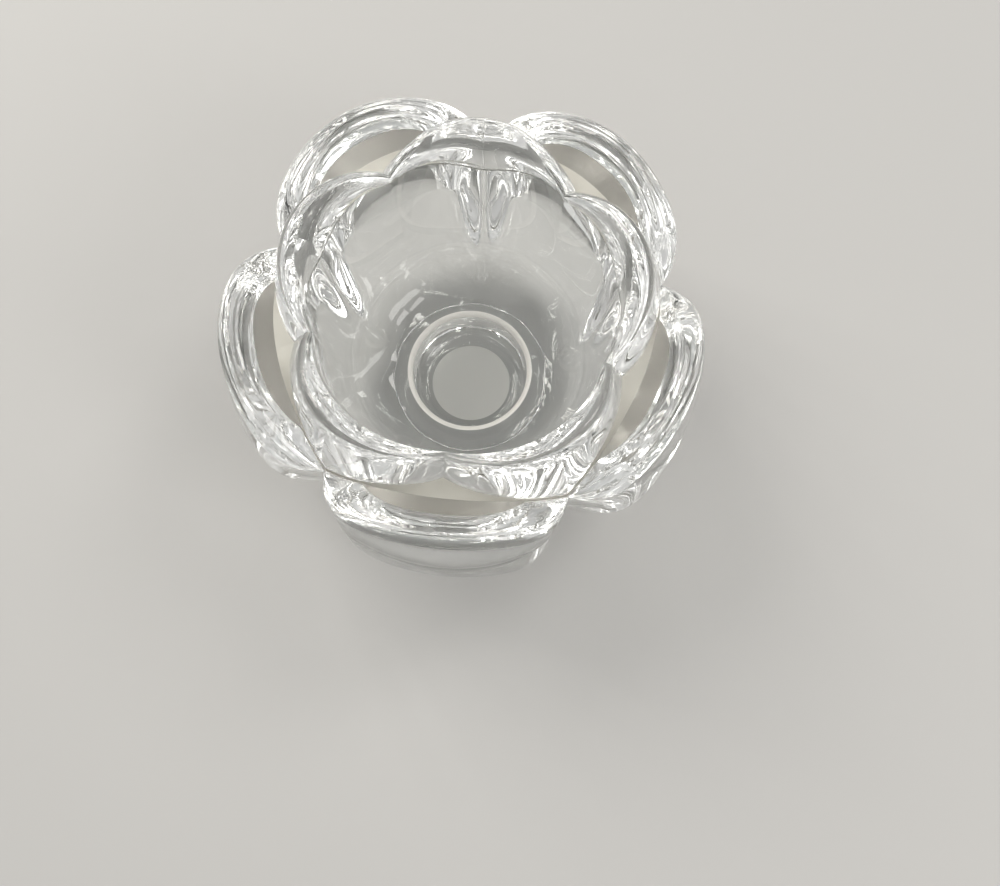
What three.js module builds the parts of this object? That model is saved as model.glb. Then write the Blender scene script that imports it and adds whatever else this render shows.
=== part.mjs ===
// Glass flower holder in clear crystal: a cup of five inner petals, with a round well in its floor,
// stands in a bowl of five outer petals. Each outer petal stands in front of a notch of the cup.
// Millimetres, +Z up. The origin is the centre of the flat foot.
import * as THREE from 'three';

// The flower
const petalCount = 5;
const frontPetalAzimuth = -90;   // degrees, the direction of one outer petal's middle

// Outer petal bowl: foot and swelling wall
const footRadius = 30;
const footEdgeHeight = 1.2;      // height of the eased edge round the foot
const bowlFloor = 4;             // glass between the foot and the cup's seat
const swellHeight = 52;          // where the outer wall is widest
const creaseRadius = 59.4;       // radius of the crease between two petals at that height
const petalSwell = 15.8;         // how far a petal's middle stands out past the crease there

// Outer petal bowl: rim
const outerNotchRadius = 61.6;
const outerNotchHeight = 74;
const petalReach = 8.4;          // tip radius less notch radius
const outerTipRise = 17.3;       // tip height less notch height
const creaseLipWidth = 0.9;      // from the lip's outer edge in to the valley at a notch
const outerLipCrown = 3.4;       // how far the lip is rounded up at a petal's middle
const creaseLipCrown = 0.3;      // and at a notch

// Pockets between the cup and the outer petals
const pocketDepth = 6;           // valley below the lip's outer edge at a petal's middle
const pocketEndDrop = 0.5;       // valley below the lip's outer edge at a notch
const pocketBow = 5.3;           // how far the valley is drawn in at a petal's middle
const pocketWidth = 5;           // from the valley out to the lip at a petal's middle
const pocketRise = 3.7;          // and from the valley up to the lip there
const pocketSpan = 0.66;         // share of the petal's width over which the pocket is open
const pocketEndWidth = 0.3;      // past the pocket's ends the lip stops this short of the valley
const pocketEndRise = 0.15;

// Inner cup: rim
const cupLean = 6.9;             // how far a cup petal's tip leans in from the valley under it
const cupNotchDepth = 7.9;       // tip radius less notch radius
const cupStand = 18.2;           // cup notch height above the outer notches
const cupTipRise = 7.3;          // cup tip height less cup notch height
const cupLipWidth = 8;
const cupNotchLipWidth = 2.6;
const cupLipCrown = 3.2;
const cupNotchLipCrown = 0.9;
const cupLipTilt = 1.6;          // how far the lip falls to its inner edge at a petal's middle

// Inner cup: the steep band and the sloping web under each notch
const bandHeight = 6;
const bandFlare = 3.7;           // how far the band runs out from the notch down to the web
const kneeInset = 0.3;           // where a petal has no web, its wall turns into the valley
const kneeRise = 0.8;            // this far in from it and above it

// Inner cup: inside
const wellRadius = 20.4;
const wellDepth = 17;
const wellCornerRadius = 5.9;    // round corner between the well's wall and its floor
const wellEdge = 1.8;            // rounding round the well's mouth
const shelfWidth = 4.6;          // flat glass round the well
const shelfScallop = 1.1;        // depth of the small scallops in the shelf's edge
const cupFloor = 4.2;            // glass under the well
const seatRadius = 31;           // flat underside of the cup
const throatFlare = 15;          // how far the inside widens in the turn from shelf to wall
const throatHeight = 21;         // height of that turn
const throatTurn = 72;           // degrees that the wall turns before it meets the shelf in an edge

// Between the cup and the bowl
const seatClearance = 0.3;

// Powers of the curves: a higher one is flatter in its middle and turns harder at its ends
const bluntPower = 7;
const swellPower = 8;
const pocketPower = 3;
const cupRimPower = 2.2;
const crownPower = 2.4;
const webPower = 3;
const throatPower = 1.6;
const notchSharpness = 1.25;
const seamFullness = 0.75;

// Mesh steps
const halfPetalSteps = 9;
const lipSteps = 7;
const wallSteps = 6;
const seamSteps = 7;
const cornerSteps = 3;

// Heights and radii that follow from the values above
const swellRadius = creaseRadius + petalSwell;
const outerTipRadius = outerNotchRadius + petalReach;
const outerTipHeight = outerNotchHeight + outerTipRise;
const valleyNotchRadius = outerNotchRadius - creaseLipWidth;
const valleyMiddleRadius = valleyNotchRadius - pocketBow;
const valleyNotchHeight = outerNotchHeight - pocketEndDrop;
const valleyMiddleHeight = outerTipHeight - pocketDepth;
const cupTipRadius = valleyNotchRadius - cupLean;
const cupNotchRadius = cupTipRadius - cupNotchDepth;
const cupNotchHeight = outerNotchHeight + cupStand;
const seatHeight = bowlFloor + seatClearance;
const wellFloorHeight = seatHeight + cupFloor;
const shelfHeight = wellFloorHeight + wellDepth;
const shelfRadius = wellRadius + wellEdge + shelfWidth;

const halfPetal = Math.PI / petalCount;
const quarterTurn = Math.PI / 2;
const mix = (from, to, share) => from + (to - from) * share;

// Position across a petal: -1 at one notch, 0 at its middle, 1 at the other notch.
// shift 0 is for the outer petals and shift 1, half a petal on, for the cup's
function acrossPetal(angle, shift) {
  const turned = (angle - THREE.MathUtils.degToRad(frontPetalAzimuth)) / halfPetal - shift;
  return turned - 2 * Math.round(turned / 2);
}

// Curves across a petal, 0 at the notches and 1 at the middle
const arch = (t, power, fall = 1) => Math.max(0, 1 - Math.abs(t) ** power) ** fall;
const bluntArch = (t) => arch(t, bluntPower, notchSharpness);
const roundArch = (t) => arch(t, 2, notchSharpness);
const flutedArch = (t) => Math.cos(t * quarterTurn) ** 2;
const swellArch = (t) => 1 - Math.abs(t) ** swellPower * (1 + swellPower * (1 - Math.abs(t)));

// Radius of a circular arc in plan that runs from notch to notch over a petal's middle
function arcRadius(notch, middle, t) {
  const angle = t * halfPetal;
  const centre = (middle ** 2 - notch ** 2) / (2 * (middle - notch * Math.cos(halfPetal)));
  const across = centre * Math.sin(angle);
  return centre * Math.cos(angle) + Math.sqrt((middle - centre) ** 2 - across ** 2);
}

// Rounded lip from just past its outer edge to its inner edge
function lipPoints(outer, inner, crown) {
  const points = [];
  for (let step = 1; step <= lipSteps; step += 1) {
    const share = (1 - Math.cos((Math.PI * step) / lipSteps)) / 2;
    const rise = crown * arch(2 * share - 1, crownPower);
    points.push([mix(outer[0], inner[0], share), mix(outer[1], inner[1], share) + rise]);
  }
  return points;
}

// Valley line of the pockets, where the cup and the bowl meet
function valleyPoint(angle) {
  const t = acrossPetal(angle, 0);
  return [
    arcRadius(valleyNotchRadius, valleyMiddleRadius, t),
    mix(valleyNotchHeight, valleyMiddleHeight, roundArch(t)),
  ];
}

// Seam on the cup's side, from the edge of its seat up to just under the valley
function seamPoints(angle) {
  const [valleyRadius, valleyHeight] = valleyPoint(angle);
  const points = [];
  for (let step = 0; step < seamSteps; step += 1) {
    const climb = step / seamSteps;
    points.push([
      mix(seatRadius, valleyRadius - seatClearance, climb ** seamFullness),
      mix(seatHeight, valleyHeight, climb),
    ]);
  }
  return points;
}

// Outer wall of the bowl, from the foot over the swell up to the lip's outer edge.
// Its creases are narrow and rounded above the swell and widen to flutes towards the foot
function bowlWallPoints(t) {
  const widest = mix(creaseRadius, swellRadius, swellArch(t));
  const rimRadius = mix(outerNotchRadius, outerTipRadius, bluntArch(t));
  const rimHeight = mix(outerNotchHeight, outerTipHeight, roundArch(t));
  const points = [];
  for (let step = 1; step <= wallSteps; step += 1) {
    const turn = (step / wallSteps) * quarterTurn;
    const climb = 1 - Math.cos(turn);
    const fullness = mix(flutedArch(t), swellArch(t), climb);
    points.push([
      mix(footRadius + footEdgeHeight, mix(creaseRadius, swellRadius, fullness), Math.sin(turn)),
      mix(footEdgeHeight, swellHeight, climb),
    ]);
  }
  for (let step = 1; step <= wallSteps; step += 1) {
    const climb = step / wallSteps;
    points.push([mix(widest, rimRadius, climb ** 2), mix(swellHeight, rimHeight, climb)]);
  }
  return points;
}

// Section of the outer petal bowl, from the middle of its foot round to the middle of its floor
function bowlSection(angle) {
  const t = acrossPetal(angle, 0);
  const wall = bowlWallPoints(t);
  const outerEdge = wall.at(-1);
  const crown = mix(creaseLipCrown, outerLipCrown, bluntArch(t));
  const valley = valleyPoint(angle);
  const pocketShare = arch(t / pocketSpan, pocketPower);
  const innerEdge = [
    valley[0] + mix(pocketEndWidth, pocketWidth, pocketShare),
    valley[1] + mix(pocketEndRise, pocketRise, pocketShare),
  ];
  const socket = seamPoints(angle).map(([radius, height]) => {
    return [radius + seatClearance, height - seatClearance];
  });
  return [
    [0, 0],
    [footRadius, 0],
    [footRadius + footEdgeHeight, footEdgeHeight],
    ...wall,
    ...lipPoints(outerEdge, innerEdge, crown),
    valley,
    ...socket.reverse(),
    [0, bowlFloor],
  ];
}

// Cup's outside above the valley, from the knee up to just under the lip's outer edge:
// a petal's wall, or under a notch the steep band
function bandPoints(knee, outerEdge) {
  const points = [];
  for (let step = 0; step < wallSteps; step += 1) {
    const fall = 1 - step / wallSteps;
    points.push([
      mix(outerEdge[0], knee[0], Math.sin(fall * quarterTurn)),
      mix(outerEdge[1], knee[1], fall),
    ]);
  }
  return points;
}

// Cup's inside, from just under the lip down the wall and round the throat to the shelf's edge
function insidePoints(innerEdge, t) {
  const edgeRadius = shelfRadius - shelfScallop * (1 - Math.abs(Math.cos(t * Math.PI)));
  const throatRadius = shelfRadius + throatFlare;
  const throatTop = shelfHeight + throatHeight;
  const lastTurn = THREE.MathUtils.degToRad(throatTurn);
  const points = [];
  for (let step = 1; step <= wallSteps; step += 1) {
    const fall = step / wallSteps;
    points.push([
      mix(innerEdge[0], throatRadius, fall ** throatPower),
      mix(innerEdge[1], throatTop, fall),
    ]);
  }
  for (let step = 1; step <= wallSteps; step += 1) {
    const turn = (step / wallSteps) * lastTurn;
    const inward = (1 - Math.cos(turn)) / (1 - Math.cos(lastTurn));
    points.push([
      mix(throatRadius, edgeRadius, inward),
      mix(throatTop, shelfHeight, Math.sin(turn) / Math.sin(lastTurn)),
    ]);
  }
  return points;
}

// Well in the cup's floor, from its rounded mouth down to the edge of its flat floor
function wellPoints() {
  const mouth = [];
  const corner = [];
  for (let step = 0; step <= cornerSteps; step += 1) {
    const turn = (step / cornerSteps) * quarterTurn;
    const across = 1 - Math.sin(turn);
    const along = 1 - Math.cos(turn);
    mouth.push([wellRadius + wellEdge * across, shelfHeight - wellEdge * along]);
    corner.push([wellRadius - wellCornerRadius * along, wellFloorHeight + wellCornerRadius * across]);
  }
  return [...mouth, ...corner];
}

// Section of the cup, from the middle of its seat round to the middle of the well's floor
function cupSection(angle) {
  const t = acrossPetal(angle, 1);
  const rimRadius = arcRadius(cupNotchRadius, cupTipRadius, t);
  const petalShare = (rimRadius - cupNotchRadius) / cupNotchDepth;
  const outerEdge = [rimRadius, cupNotchHeight + cupTipRise * arch(t, cupRimPower)];
  const innerEdge = [
    rimRadius - mix(cupNotchLipWidth, cupLipWidth, petalShare),
    outerEdge[1] - mix(0, cupLipTilt, petalShare),
  ];
  const crown = mix(cupNotchLipCrown, cupLipCrown, petalShare);
  const valley = valleyPoint(angle);
  const foot = [valley[0] - seatClearance, valley[1]];
  const webShare = arch(t, webPower);
  const knee = [
    mix(cupNotchRadius + bandFlare, foot[0] - kneeInset, webShare),
    mix(cupNotchHeight - bandHeight, foot[1] + kneeRise, webShare),
  ];
  return [
    [0, seatHeight],
    ...seamPoints(angle),
    foot,
    ...bandPoints(knee, outerEdge),
    outerEdge,
    ...lipPoints(outerEdge, innerEdge, crown),
    ...insidePoints(innerEdge, t),
    ...wellPoints(),
    [0, wellFloorHeight],
  ];
}

// Angles of the sections, closer together at the notches of both petal rows
function sectionAngles() {
  const start = THREE.MathUtils.degToRad(frontPetalAzimuth);
  const angles = [];
  for (let half = 0; half < 2 * petalCount; half += 1) {
    for (let step = 0; step < halfPetalSteps; step += 1) {
      const share = (1 - Math.cos((Math.PI * step) / halfPetalSteps)) / 2;
      angles.push(start + (half + share) * halfPetal);
    }
  }
  return angles;
}

// Closed body round the axis through one section at each angle. A section's first and last
// points lie on the axis and become the two poles
function lobedBody(sectionAt) {
  const angles = sectionAngles();
  const sections = angles.map((angle) => sectionAt(angle));
  const columns = sections.length;
  const rows = sections[0].length - 2;
  const positions = [0, 0, sections[0][0][1]];
  sections.forEach((section, column) => {
    const outward = [Math.cos(angles[column]), Math.sin(angles[column])];
    section.slice(1, -1).forEach(([radius, height]) => {
      positions.push(radius * outward[0], radius * outward[1], height);
    });
  });
  positions.push(0, 0, sections[0].at(-1)[1]);
  const lastPole = columns * rows + 1;
  const at = (column, row) => 1 + (column % columns) * rows + row;
  const indices = [];
  for (let column = 0; column < columns; column += 1) {
    const next = column + 1;
    indices.push(0, at(next, 0), at(column, 0));
    for (let row = 0; row < rows - 1; row += 1) {
      indices.push(at(column, row), at(next, row), at(next, row + 1));
      indices.push(at(column, row), at(next, row + 1), at(column, row + 1));
    }
    indices.push(at(column, rows - 1), at(next, rows - 1), lastPole);
  }
  const geometry = new THREE.BufferGeometry();
  geometry.setAttribute('position', new THREE.Float32BufferAttribute(positions, 3));
  geometry.setIndex(indices);
  geometry.computeVertexNormals();
  return geometry;
}

// Clear colourless crystal
function crystalMaterial() {
  return new THREE.MeshStandardMaterial({
    color: 0xe9eeec,
    roughness: 0.03,
    metalness: 0,
    transparent: true,
    opacity: 0.35,
  });
}

// Named piece of glass whose sections sectionAt gives
function glassPiece(name, sectionAt) {
  const mesh = new THREE.Mesh(lobedBody(sectionAt), crystalMaterial());
  mesh.name = name;
  return mesh;
}

const flowerHolder = new THREE.Group();
flowerHolder.add(glassPiece('outer_petal_bowl', bowlSection));
flowerHolder.add(glassPiece('inner_petal_cup', cupSection));

export default flowerHolder;
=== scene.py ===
# Looks of the glass flower holder: a cup of five petals in a bowl of five petals, in clear crystal.
# The shapes follow the same formulas as the solids, with many more sections. Sizes are in
# millimetres, and the meshes are written in metres.
import math

import bpy
import numpy as np
from mathutils import Matrix, Vector


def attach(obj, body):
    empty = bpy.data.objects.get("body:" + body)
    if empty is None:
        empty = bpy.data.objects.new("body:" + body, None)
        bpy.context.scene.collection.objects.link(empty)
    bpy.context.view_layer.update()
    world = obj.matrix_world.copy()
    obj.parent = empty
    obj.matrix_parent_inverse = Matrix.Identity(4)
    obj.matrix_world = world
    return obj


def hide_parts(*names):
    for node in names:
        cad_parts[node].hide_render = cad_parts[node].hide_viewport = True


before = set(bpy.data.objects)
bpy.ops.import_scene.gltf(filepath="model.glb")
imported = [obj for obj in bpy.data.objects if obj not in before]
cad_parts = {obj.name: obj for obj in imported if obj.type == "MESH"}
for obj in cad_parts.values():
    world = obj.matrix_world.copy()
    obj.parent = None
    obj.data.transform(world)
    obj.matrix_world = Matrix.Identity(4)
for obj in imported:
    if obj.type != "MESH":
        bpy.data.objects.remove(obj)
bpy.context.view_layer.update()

MM = 0.001

# Flower
PETALS = 5
FRONT_PETAL = math.radians(-90)
HALF_PETAL = math.pi / PETALS
QUARTER_TURN = math.pi / 2

# Bowl of outer petals
FOOT_RADIUS = 30.0
FOOT_EDGE = 1.2
FOOT_MARGIN = 0.6  # plain ring of faces inside the foot's edge
BOWL_FLOOR = 4.0
SWELL_HEIGHT = 52.0
CREASE_RADIUS = 59.4
SWELL_RADIUS = 75.0  # 0.2 mm inside the solid, whose box the finer mesh keeps to
OUTER_NOTCH_RADIUS = 61.6
OUTER_NOTCH_HEIGHT = 74.0
PETAL_REACH = 8.4
OUTER_TIP_RISE = 17.3
CREASE_LIP_WIDTH = 0.9
OUTER_LIP_CROWN = 3.4
CREASE_LIP_CROWN = 0.3

# Pockets
POCKET_DEPTH = 6.0
POCKET_END_DROP = 0.5
POCKET_BOW = 5.3
POCKET_WIDTH = 5.0
POCKET_RISE = 3.7
POCKET_SPAN = 0.66
POCKET_END_WIDTH = 0.3
POCKET_END_RISE = 0.15

# Cup of inner petals
CUP_LEAN = 6.9
CUP_NOTCH_DEPTH = 7.9
CUP_STAND = 18.2
CUP_TIP_RISE = 7.3
CUP_LIP_WIDTH = 8.0
CUP_NOTCH_LIP_WIDTH = 2.6
CUP_LIP_CROWN = 3.18  # a little lower than the solid's, for the same reason
CUP_NOTCH_LIP_CROWN = 0.9
CUP_LIP_TILT = 1.6
BAND_HEIGHT = 6.0
BAND_FLARE = 3.7
KNEE_INSET = 0.3
KNEE_RISE = 0.8
WELL_RADIUS = 20.4
WELL_DEPTH = 17.0
WELL_CORNER = 5.9
WELL_EDGE = 1.8
SHELF_WIDTH = 4.6
SHELF_SCALLOP = 1.1
CUP_FLOOR = 4.2
SEAT_RADIUS = 31.0
THROAT_FLARE = 15.0
THROAT_HEIGHT = 21.0
THROAT_TURN = math.radians(72)

# The solids keep 0.3 mm between cup and bowl. Here the joint is drawn nearly closed
SOLID_CLEARANCE = 0.3
JOINT_GAP = 0.03

# Powers of the arches: a higher one is flatter in its middle and turns harder at its ends
BLUNT_POWER = 7.0
SWELL_POWER = 8
POCKET_POWER = 3.0
CUP_RIM_POWER = 2.2
CROWN_POWER = 2.4
WEB_POWER = 3.0

# Powers of the other curves, where 1 changes nothing
NOTCH_SHARPNESS = 1.25  # a higher one draws a petal in sooner towards its notches
THROAT_POWER = 1.6  # a higher one keeps the cup wide further down
SEAM_FULLNESS = 0.75  # a lower one bows the joint further out

# Materials of a glass piece, by their place in its list
POLISHED, JOINT, POCKET, WEB, RING, LIP, HAZE = range(7)

# Glass and its finishes. The grain is given in patches round the axis and along the section,
# and its height in metres
GLASS_IOR = 1.54
CRYSTAL_COLOUR = (0.97, 0.985, 0.98, 1)
SATIN_GRAIN = (1400, 900)
SATIN_GRAIN_DETAIL = 2.0
SATIN_GRAIN_HEIGHT = 0.00002

# Floor, in metres, from its middle to its sides, and just below the holder's foot
FLOOR_SIDE = 3.0
FLOOR_DROP = 0.0002
FLOOR_DARK = (0.47, 0.465, 0.455, 1)
FLOOR_PALE = (0.53, 0.525, 0.515, 1)

# Soft lights, in metres and watts: middle, number of panels side by side, their spacing,
# width and height of one, power of all, and colour
LIGHTS = {
    "window": ((-0.6, 0.45, 0.75), 5, 0.13, (0.05, 0.7), 6, (1.0, 0.97, 0.91)),
    "fill": ((0.75, -0.35, 0.6), 1, 0.0, (0.3, 0.6), 2.5, (1.0, 0.98, 0.95)),
    "overhead": ((0.55, 0.5, 0.95), 1, 0.0, (0.3, 0.4), 2.5, (1.0, 0.98, 0.94)),
}
LIGHT_TARGET = (0, 0, 0.05)

# Surroundings, from below to above: place on the ramp and colour
SKY_STOPS = (
    (0.1, (0.36, 0.355, 0.345, 1)),
    (0.3, (0.45, 0.445, 0.435, 1)),
    (0.85, (0.82, 0.81, 0.79, 1)),
)
SKY_STRENGTH = 0.9

# Camera, in millimetres, radians and pixels of the photograph's frame
CAMERA_PLACE = (18.87, -89.07, 330.2)
CAMERA_TARGET = (13.67, -26.07, 28.4)
CAMERA_ROLL = 0.11
FOCAL_PIXELS = 886.0
IMAGE_WIDTH = 1000
SENSOR_WIDTH = 36.0

# Values that follow
OUTER_TIP_RADIUS = OUTER_NOTCH_RADIUS + PETAL_REACH
OUTER_TIP_HEIGHT = OUTER_NOTCH_HEIGHT + OUTER_TIP_RISE
VALLEY_NOTCH_RADIUS = OUTER_NOTCH_RADIUS - CREASE_LIP_WIDTH
VALLEY_MIDDLE_RADIUS = VALLEY_NOTCH_RADIUS - POCKET_BOW
VALLEY_NOTCH_HEIGHT = OUTER_NOTCH_HEIGHT - POCKET_END_DROP
VALLEY_MIDDLE_HEIGHT = OUTER_TIP_HEIGHT - POCKET_DEPTH
CUP_TIP_RADIUS = VALLEY_NOTCH_RADIUS - CUP_LEAN
CUP_NOTCH_RADIUS = CUP_TIP_RADIUS - CUP_NOTCH_DEPTH
CUP_NOTCH_HEIGHT = OUTER_NOTCH_HEIGHT + CUP_STAND
SEAT_HEIGHT = BOWL_FLOOR + SOLID_CLEARANCE
WELL_FLOOR_HEIGHT = SEAT_HEIGHT + CUP_FLOOR
SHELF_HEIGHT = WELL_FLOOR_HEIGHT + WELL_DEPTH
SHELF_RADIUS = WELL_RADIUS + WELL_EDGE + SHELF_WIDTH

# Sections round the axis, and rows of the mesh along each part of a section
COLUMNS = 560
LIP_ROWS = 34
WALL_ROWS = 26
SEAM_ROWS = 26
BAND_ROWS = 18
POCKET_ROWS = 8
INSIDE_ROWS = 22
CORNER_ROWS = 8
NOTCH_CROWDING = 0.72  # 0 spaces the sections evenly, and just under 1 packs them at the notches
SHARP_EDGE = math.radians(38)  # faces that meet at a wider angle keep a hard edge


def mix(start, end, share):
    return start + (end - start) * share


def arch(t, power, fall=1.0):
    """1 at a petal's middle, where t is 0, and 0 at its notches, where t is 1 or -1."""
    return np.maximum(0.0, 1.0 - np.abs(t) ** power) ** fall


def blunt_arch(t):
    return arch(t, BLUNT_POWER, NOTCH_SHARPNESS)


def round_arch(t):
    return arch(t, 2.0, NOTCH_SHARPNESS)


def fluted_arch(t):
    return np.cos(t * QUARTER_TURN) ** 2


def swell_arch(t):
    """Swell between two rounded creases."""
    return 1.0 - np.abs(t) ** SWELL_POWER * (1.0 + SWELL_POWER * (1.0 - np.abs(t)))


def across_petal(angle, shift):
    """Place across a petal, from -1 to 1. A shift of 1 stands for the cup's petals, which are
    turned by half a petal."""
    turned = (angle - FRONT_PETAL) / HALF_PETAL - shift
    return turned - 2 * np.round(turned / 2)


def arc_radius(notch, middle, t):
    """Radius along a round arc through both notches and the middle of a petal."""
    angle = t * HALF_PETAL
    centre = (middle**2 - notch**2) / (2 * (middle - notch * math.cos(HALF_PETAL)))
    across = centre * np.sin(angle)
    return centre * np.cos(angle) + np.sqrt((middle - centre) ** 2 - across**2)


def valley_point(angle):
    """Line where cup and bowl meet at the bottom of the pockets."""
    t = across_petal(angle, 0)
    radius = arc_radius(VALLEY_NOTCH_RADIUS, VALLEY_MIDDLE_RADIUS, t)
    return radius, mix(VALLEY_NOTCH_HEIGHT, VALLEY_MIDDLE_HEIGHT, round_arch(t))


def lip_rows(outer, inner, crown):
    """Rounded lip from just past its outer edge to its inner edge."""
    rows = []
    for step in range(1, LIP_ROWS + 1):
        share = (1 - math.cos(math.pi * step / LIP_ROWS)) / 2
        rise = crown * (1 - abs(2 * share - 1) ** CROWN_POWER)
        rows.append((mix(outer[0], inner[0], share), mix(outer[1], inner[1], share) + rise))
    return rows


def seam_rows(angle, offset):
    """Joint between cup and bowl, from the edge of the seat up to just under the valley."""
    valley_radius, valley_height = valley_point(angle)
    rows = []
    for step in range(SEAM_ROWS):
        climb = step / SEAM_ROWS
        radius = mix(SEAT_RADIUS, valley_radius - JOINT_GAP, climb**SEAM_FULLNESS)
        rows.append((radius + offset, mix(SEAT_HEIGHT, valley_height, climb) - offset))
    return rows


def bowl_wall_rows(t):
    """Outer wall from the foot over the swell up to the rim."""
    swell = swell_arch(t)
    widest = mix(CREASE_RADIUS, SWELL_RADIUS, swell)
    rim_radius = mix(OUTER_NOTCH_RADIUS, OUTER_TIP_RADIUS, blunt_arch(t))
    rim_height = mix(OUTER_NOTCH_HEIGHT, OUTER_TIP_HEIGHT, round_arch(t))
    rows = []
    for step in range(1, WALL_ROWS + 1):
        turn = step / WALL_ROWS * QUARTER_TURN
        climb = 1 - math.cos(turn)
        reach = mix(CREASE_RADIUS, SWELL_RADIUS, mix(fluted_arch(t), swell, climb))
        radius = mix(FOOT_RADIUS + FOOT_EDGE, reach, math.sin(turn))
        rows.append((radius, np.full_like(t, mix(FOOT_EDGE, SWELL_HEIGHT, climb))))
    for step in range(1, WALL_ROWS + 1):
        climb = step / WALL_ROWS
        rows.append((mix(widest, rim_radius, climb**2), mix(SWELL_HEIGHT, rim_height, climb)))
    return rows


def slope_rows(start, end, count):
    """Straight slope from just past its start to its end."""
    shares = [step / count for step in range(1, count + 1)]
    return [(mix(start[0], end[0], share), mix(start[1], end[1], share)) for share in shares]


def bowl_rows(angle):
    """Rows of the bowl's sections, the bands of rows that aren't polished crystal, and the
    heights at which the body closes on the axis."""
    t = across_petal(angle, 0)
    blunt = blunt_arch(t)
    flat = np.zeros_like(t)
    pocket = arch(t / POCKET_SPAN, POCKET_POWER)
    rows = [(flat + FOOT_RADIUS / 2, flat), (flat + FOOT_RADIUS - FOOT_MARGIN, flat)]
    for step in range(CORNER_ROWS + 1):
        turn = step / CORNER_ROWS * QUARTER_TURN
        radius = FOOT_RADIUS + FOOT_EDGE * math.sin(turn)
        rows.append((flat + radius, flat + FOOT_EDGE * (1 - math.cos(turn))))
    wall = bowl_wall_rows(t)
    rows += wall
    outer = wall[-1]
    valley = valley_point(angle)
    inner = (
        valley[0] + mix(POCKET_END_WIDTH, POCKET_WIDTH, pocket),
        valley[1] + mix(POCKET_END_RISE, POCKET_RISE, pocket),
    )
    rows += lip_rows(outer, inner, mix(CREASE_LIP_CROWN, OUTER_LIP_CROWN, blunt))
    lip_end = len(rows) - 1
    rows += slope_rows(inner, valley, POCKET_ROWS)
    valley_row = len(rows) - 1
    rows += reversed(seam_rows(angle, JOINT_GAP))
    rows.append((flat + SEAT_RADIUS / 2, flat + SEAT_HEIGHT - JOINT_GAP))
    # The pocket band takes the satin whose colour is painted shade
    bands = [(lip_end - LIP_ROWS, lip_end, LIP), (lip_end, valley_row, POCKET)]
    bands.append((valley_row, len(rows), JOINT))
    return rows, bands, (0.0, SEAT_HEIGHT - JOINT_GAP)


def inside_rows(t, inner):
    """Inside of the cup, from its lip down to the shelf round the well."""
    edge_radius = SHELF_RADIUS - SHELF_SCALLOP * (1 - np.abs(np.cos(t * math.pi)))
    throat_radius = SHELF_RADIUS + THROAT_FLARE
    throat_top = SHELF_HEIGHT + THROAT_HEIGHT
    rows = []
    for step in range(1, INSIDE_ROWS + 1):
        fall = step / INSIDE_ROWS
        radius = mix(inner[0], throat_radius, fall**THROAT_POWER)
        rows.append((radius, mix(inner[1], throat_top, fall)))
    for step in range(1, INSIDE_ROWS + 1):
        turn = step / INSIDE_ROWS * THROAT_TURN
        inward = (1 - math.cos(turn)) / (1 - math.cos(THROAT_TURN))
        drop = math.sin(turn) / math.sin(THROAT_TURN)
        radius = mix(throat_radius, edge_radius, inward)
        rows.append((radius, np.full_like(t, mix(throat_top, SHELF_HEIGHT, drop))))
    middle_radius = mix(edge_radius, WELL_RADIUS + WELL_EDGE, 0.5)
    rows.append((middle_radius, np.full_like(t, SHELF_HEIGHT)))
    return rows


def well_rows(flat):
    """Rounded mouth of the well, and the corner between its wall and its floor."""
    mouth = []
    corner = []
    for step in range(CORNER_ROWS + 1):
        turn = step / CORNER_ROWS * QUARTER_TURN
        across = 1 - math.sin(turn)
        along = 1 - math.cos(turn)
        mouth_radius = WELL_RADIUS + WELL_EDGE * across
        mouth.append((flat + mouth_radius, flat + SHELF_HEIGHT - WELL_EDGE * along))
        corner_radius = WELL_RADIUS - WELL_CORNER * along
        corner.append((flat + corner_radius, flat + WELL_FLOOR_HEIGHT + WELL_CORNER * across))
    return mouth, corner


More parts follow.
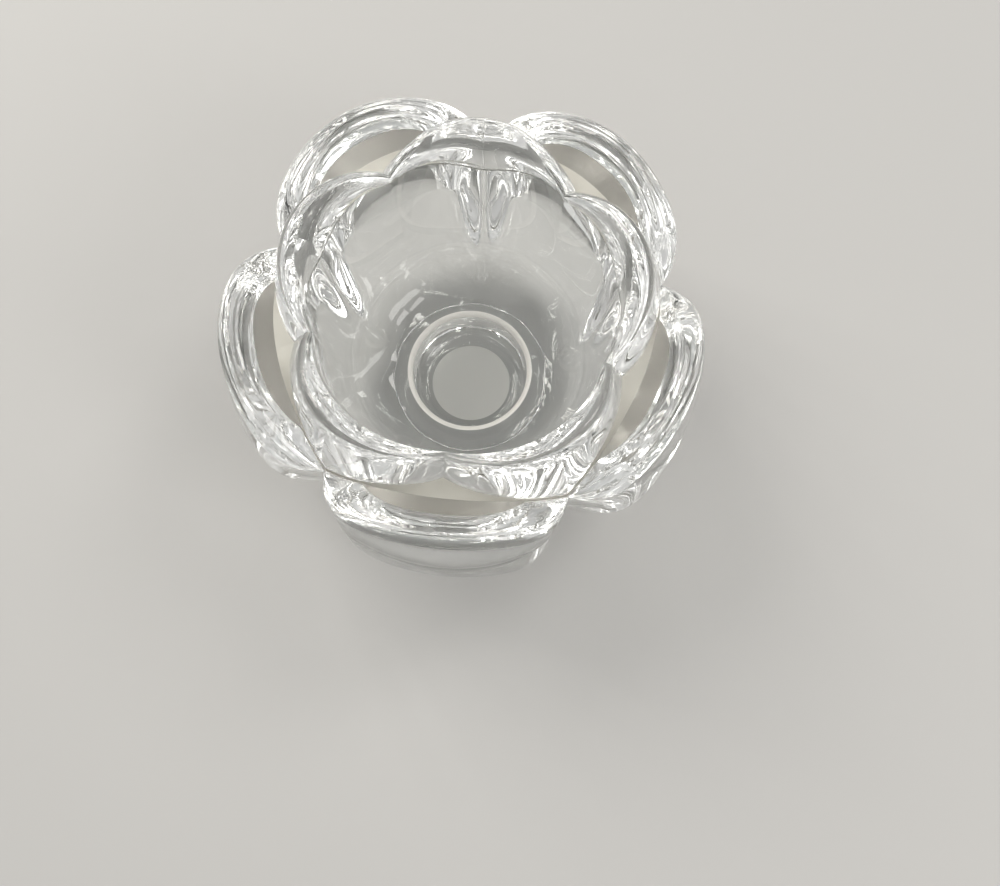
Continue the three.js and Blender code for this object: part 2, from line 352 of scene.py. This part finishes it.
def cup_rows(angle):
    """Rows, bands and closing heights of the cup, in the same form as the bowl's."""
    t = across_petal(angle, 1)
    flat = np.zeros_like(t)
    rim_radius = arc_radius(CUP_NOTCH_RADIUS, CUP_TIP_RADIUS, t)
    petal_share = (rim_radius - CUP_NOTCH_RADIUS) / CUP_NOTCH_DEPTH
    outer = (rim_radius, CUP_NOTCH_HEIGHT + CUP_TIP_RISE * arch(t, CUP_RIM_POWER))
    inner = (
        rim_radius - mix(CUP_NOTCH_LIP_WIDTH, CUP_LIP_WIDTH, petal_share),
        outer[1] - CUP_LIP_TILT * petal_share,
    )
    rows = [(flat + SEAT_RADIUS / 2, flat + SEAT_HEIGHT)]
    rows += seam_rows(angle, 0.0)
    valley = valley_point(angle)
    foot = (valley[0] - JOINT_GAP, valley[1])
    rows.append(foot)
    foot_row = len(rows) - 1
    web = arch(t, WEB_POWER)
    knee = (
        mix(CUP_NOTCH_RADIUS + BAND_FLARE, foot[0] - KNEE_INSET, web),
        mix(CUP_NOTCH_HEIGHT - BAND_HEIGHT, foot[1] + KNEE_RISE, web),
    )
    rows += slope_rows(foot, knee, POCKET_ROWS)
    knee_row = len(rows) - 1
    for step in range(1, BAND_ROWS + 1):
        fall = 1 - step / BAND_ROWS
        radius = mix(outer[0], knee[0], math.sin(fall * QUARTER_TURN))
        rows.append((radius, mix(outer[1], knee[1], fall)))
    rows += lip_rows(outer, inner, mix(CUP_NOTCH_LIP_CROWN, CUP_LIP_CROWN, petal_share))
    lip_end = len(rows) - 1
    rows += inside_rows(t, inner)
    mouth, corner = well_rows(flat)
    mouth_start = len(rows)
    rows += mouth
    mouth_end = len(rows) - 1
    rows += corner
    corner_end = len(rows) - 1
    rows.append((flat + (WELL_RADIUS - WELL_CORNER) / 2, flat + WELL_FLOOR_HEIGHT))
    # The web band takes satin whose colour is painted light, and the well's mouth a painted glint
    bands = [(-1, foot_row, JOINT), (foot_row, knee_row, WEB), (lip_end - LIP_ROWS, lip_end, LIP)]
    bands += [(mouth_start, mouth_end, RING), (corner_end, len(rows), HAZE)]
    return rows, bands, (SEAT_HEIGHT, WELL_FLOOR_HEIGHT)


def section_angles():
    """Angles of the sections, somewhat closer together at the notches of both petal rows."""
    per_half = COLUMNS // (2 * PETALS)
    even = np.arange(per_half) / per_half
    share = even - NOTCH_CROWDING * np.sin(2 * math.pi * even) / (2 * math.pi)
    halves = [FRONT_PETAL + (half + share) * HALF_PETAL for half in range(2 * PETALS)]
    return np.concatenate(halves)


def glass_mesh(name, angle, rows, bands, end_heights):
    """Closed body through one section at each angle. Its surface pattern runs along U round the
    axis and along V along the section."""
    points = [np.array([[0.0, 0.0, end_heights[0]]])]
    for radius, height in rows:
        points.append(np.stack([radius * np.cos(angle), radius * np.sin(angle), height], axis=1))
    points.append(np.array([[0.0, 0.0, end_heights[1]]]))
    vertices = np.concatenate(points) * MM

    steps = len(rows) + 1
    row_kinds = np.full(steps, POLISHED)
    for start, end, kind in bands:
        row_kinds[start + 1:end + 1] = kind

    columns = len(angle)
    column = np.arange(columns)
    ahead = (column + 1) % columns
    left = column / columns
    right = (column + 1) / columns
    centre = left + 0.5 / columns
    faces = []
    pattern = []
    for row in range(1, len(rows)):
        low = 1 + (row - 1) * columns
        high = low + columns
        faces += np.stack([low + column, low + ahead, high + ahead, high + column], 1).tolist()
        below = np.full(columns, row / steps)
        above = np.full(columns, (row + 1) / steps)
        pattern.append(np.stack([left, below, right, below, right, above, left, above], 1))
    first_pole = np.zeros(columns, int)
    faces += np.stack([first_pole, 1 + ahead, 1 + column], 1).tolist()
    start = np.zeros(columns)
    after = start + 1 / steps
    pattern.append(np.stack([centre, start, right, after, left, after], 1))
    last_pole = first_pole + len(vertices) - 1
    top = len(vertices) - 1 - columns
    faces += np.stack([top + column, top + ahead, last_pole], 1).tolist()
    end = np.ones(columns)
    before = end - 1 / steps
    pattern.append(np.stack([left, before, right, before, centre, end], 1))
    face_kinds = np.repeat(np.concatenate([row_kinds[1:-1], row_kinds[[0, -1]]]), columns)

    mesh = bpy.data.meshes.new(name)
    mesh.from_pydata(vertices.tolist(), [], faces)
    mesh.polygons.foreach_set("material_index", face_kinds.tolist())
    mesh.polygons.foreach_set("use_smooth", [True] * len(faces))
    layer = mesh.uv_layers.new(name="pattern")
    layer.uv.foreach_set("vector", np.concatenate([part.ravel() for part in pattern]))
    return mesh


def glass_piece(name, node, rows_at, materials):
    """Piece of glass that rides on the part's one body and stands for its CAD node."""
    angle = section_angles()
    mesh = glass_mesh(name, angle, *rows_at(angle))
    for material in materials:
        mesh.materials.append(material)
    mesh.set_sharp_from_angle(angle=SHARP_EDGE)
    mesh.update()
    piece = bpy.data.objects.new(name, mesh)
    bpy.context.scene.collection.objects.link(piece)
    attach(piece, "root")
    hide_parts(node)


def new_material(name):
    material = bpy.data.materials.new(name)
    material.use_nodes = True
    return material, material.node_tree.nodes, material.node_tree.links


def stretched_noise(nodes, links, repeats, detail):
    """Noise on the piece's pattern, with the given numbers of patches round the axis and along
    the section."""
    place = nodes.new("ShaderNodeTexCoord")
    stretch = nodes.new("ShaderNodeMapping")
    stretch.inputs["Scale"].default_value = (repeats[0], repeats[1], 1)
    noise = nodes.new("ShaderNodeTexNoise")
    noise.inputs["Scale"].default_value = 1.0
    noise.inputs["Detail"].default_value = detail
    links.new(place.outputs["UV"], stretch.inputs["Vector"])
    links.new(stretch.outputs["Vector"], noise.inputs["Vector"])
    return noise


def crystal_material(name, repeats, detail, height):
    """Clear crystal with the slight waves of fire-polished glass, drawn out along the lips."""
    material, nodes, links = new_material(name)
    shader = nodes["Principled BSDF"]
    shader.inputs["Base Color"].default_value = CRYSTAL_COLOUR
    shader.inputs["Roughness"].default_value = 0.0
    shader.inputs["IOR"].default_value = GLASS_IOR
    shader.inputs["Transmission Weight"].default_value = 1.0
    noise = stretched_noise(nodes, links, repeats, detail)
    waves = nodes.new("ShaderNodeBump")
    waves.inputs["Strength"].default_value = 1.0
    waves.inputs["Distance"].default_value = height
    links.new(noise.outputs["Fac"], waves.inputs["Height"])
    links.new(waves.outputs["Normal"], shader.inputs["Normal"])
    return material


def satin_and_painted_shading_material(name, clearness, colour, least, most):
    """Crystal that keeps the fine grain of the mould. Its roughness lies between least and
    most, and its clearness is the share of light that goes through. Its colour is painted shade in
    the pockets, painted light on the webs and a painted glint on the well's mouth, and the plain
    pale tone of the hazy floor."""
    material, nodes, links = new_material(name)
    shader = nodes["Principled BSDF"]
    shader.inputs["Base Color"].default_value = colour
    shader.inputs["IOR"].default_value = GLASS_IOR
    shader.inputs["Transmission Weight"].default_value = clearness
    grain = stretched_noise(nodes, links, SATIN_GRAIN, SATIN_GRAIN_DETAIL)
    roughness = nodes.new("ShaderNodeMapRange")
    roughness.inputs["To Min"].default_value = least
    roughness.inputs["To Max"].default_value = most
    links.new(grain.outputs["Fac"], roughness.inputs["Value"])
    links.new(roughness.outputs["Result"], shader.inputs["Roughness"])
    bump = nodes.new("ShaderNodeBump")
    bump.inputs["Distance"].default_value = SATIN_GRAIN_HEIGHT
    links.new(grain.outputs["Fac"], bump.inputs["Height"])
    links.new(bump.outputs["Normal"], shader.inputs["Normal"])
    return material


def joint_material():
    """Where cup and bowl are fused, light passes straight through."""
    material, nodes, _ = new_material("fused_joint")
    shader = nodes["Principled BSDF"]
    shader.inputs["Base Color"].default_value = (1, 1, 1, 1)
    shader.inputs["Alpha"].default_value = 0.0
    return material


def glass_materials():
    """The materials of a glass piece, in the order of their kinds."""
    materials = [None] * (HAZE + 1)
    materials[POLISHED] = crystal_material(
        "clear_crystal", repeats=(12, 14), detail=1.0, height=0.00002
    )
    materials[JOINT] = joint_material()
    # Pocket satin: its dark brown-grey colour is painted shade in the recessed pocket
    materials[POCKET] = satin_and_painted_shading_material(
        "satin_pocket_painted_shade", clearness=0.7, colour=(0.4, 0.38, 0.335, 1), least=0.55, most=0.8
    )
    # Web satin: its cream colour is painted light falling on the web from above
    materials[WEB] = satin_and_painted_shading_material(
        "satin_web_painted_light", clearness=0.35, colour=(0.66, 0.64, 0.57, 1), least=0.4, most=0.7
    )
    # Satin on the well's mouth: nearly opaque pale cream, a painted glint round the well
    materials[RING] = satin_and_painted_shading_material(
        "satin_ring_painted_glint", clearness=0.12, colour=(0.97, 0.95, 0.9, 1), least=0.3, most=0.5
    )
    materials[LIP] = crystal_material("clear_lip", repeats=(14, 60), detail=2.0, height=0.00005)
    materials[HAZE] = satin_and_painted_shading_material(
        "hazy_floor", clearness=0.5, colour=(0.9, 0.9, 0.86, 1), least=0.3, most=0.5
    )
    return materials


def floor_material():
    """Pale and matt, with very faint clouds."""
    material, nodes, links = new_material("pale_floor")
    shader = nodes["Principled BSDF"]
    shader.inputs["Roughness"].default_value = 0.7
    place = nodes.new("ShaderNodeTexCoord")
    noise = nodes.new("ShaderNodeTexNoise")
    noise.inputs["Scale"].default_value = 2.0
    links.new(place.outputs["Object"], noise.inputs["Vector"])
    ramp = nodes.new("ShaderNodeValToRGB")
    ramp.color_ramp.elements[0].color = FLOOR_DARK
    ramp.color_ramp.elements[1].color = FLOOR_PALE
    links.new(noise.outputs["Fac"], ramp.inputs["Fac"])
    links.new(ramp.outputs["Color"], shader.inputs["Base Color"])
    return material


def add_floor():
    mesh = bpy.data.meshes.new("floor")
    side = FLOOR_SIDE
    corners = [(-side, -side, 0), (side, -side, 0), (side, side, 0), (-side, side, 0)]
    mesh.from_pydata(corners, [], [(0, 1, 2, 3)])
    mesh.materials.append(floor_material())
    floor = bpy.data.objects.new("floor", mesh)
    floor.location.z = -FLOOR_DROP
    bpy.context.scene.collection.objects.link(floor)


def add_panels(name, place, count, spacing, size, power, colour):
    """Upright light panels side by side round the given middle, turned to the holder."""
    middle = Vector(place)
    along = Vector((-middle.y, middle.x, 0)).normalized()
    for index in range(count):
        spot = middle + along * spacing * (index - (count - 1) / 2)
        add_lamp(f"{name}_{index}", spot, size, power / count, colour)


def add_lamp(name, spot, size, power, colour):
    data = bpy.data.lights.new(name, "AREA")
    data.shape = "RECTANGLE"
    data.size, data.size_y = size
    data.energy = power
    data.color = colour
    lamp = bpy.data.objects.new(name, data)
    lamp.location = spot
    aim = Vector(LIGHT_TARGET) - spot
    lamp.rotation_euler = aim.to_track_quat("-Z", "Y").to_euler()
    bpy.context.scene.collection.objects.link(lamp)


def add_world():
    """Soft surroundings that grow brighter from the horizon to the zenith."""
    world = bpy.data.worlds.new("studio")
    bpy.context.scene.world = world
    world.use_nodes = True
    nodes = world.node_tree.nodes
    links = world.node_tree.links
    background = nodes["Background"]
    place = nodes.new("ShaderNodeTexCoord")
    split = nodes.new("ShaderNodeSeparateXYZ")
    ramp = nodes.new("ShaderNodeValToRGB")
    stops = ramp.color_ramp.elements
    stops.new(SKY_STOPS[1][0])
    for stop, (position, colour) in zip(stops, SKY_STOPS):
        stop.position = position
        stop.color = colour
    links.new(place.outputs["Generated"], split.inputs["Vector"])
    links.new(split.outputs["Z"], ramp.inputs["Fac"])
    links.new(ramp.outputs["Color"], background.inputs["Color"])
    background.inputs["Strength"].default_value = SKY_STRENGTH


def add_camera():
    """Camera at the photograph's viewing angle."""
    place = Vector(CAMERA_PLACE)
    forward = (Vector(CAMERA_TARGET) - place).normalized()
    level = forward.cross(Vector((0, 1, 0)))
    level.normalize()
    upward = level.cross(forward)
    right = math.cos(CAMERA_ROLL) * level + math.sin(CAMERA_ROLL) * upward
    up = math.cos(CAMERA_ROLL) * upward - math.sin(CAMERA_ROLL) * level
    data = bpy.data.cameras.new("camera")
    data.sensor_fit = "HORIZONTAL"
    data.sensor_width = SENSOR_WIDTH
    data.lens = SENSOR_WIDTH * FOCAL_PIXELS / IMAGE_WIDTH
    camera = bpy.data.objects.new("camera", data)
    spot = place * MM
    camera.matrix_world = Matrix(
        (
            (right.x, up.x, -forward.x, spot.x),
            (right.y, up.y, -forward.y, spot.y),
            (right.z, up.z, -forward.z, spot.z),
            (0, 0, 0, 1),
        )
    )
    bpy.context.scene.collection.objects.link(camera)
    bpy.context.scene.camera = camera


add_camera()
add_world()
add_floor()
for light, values in LIGHTS.items():
    add_panels(light, *values)

glass = glass_materials()
glass_piece("crystal_bowl", "outer_petal_bowl", bowl_rows, glass)
glass_piece("crystal_cup", "inner_petal_cup", cup_rows, glass)

scene = bpy.context.scene
scene.view_settings.view_transform = "Standard"
scene.cycles.max_bounces = 24
scene.cycles.transmission_bounces = 24
scene.cycles.glossy_bounces = 12
scene.cycles.transparent_max_bounces = 24

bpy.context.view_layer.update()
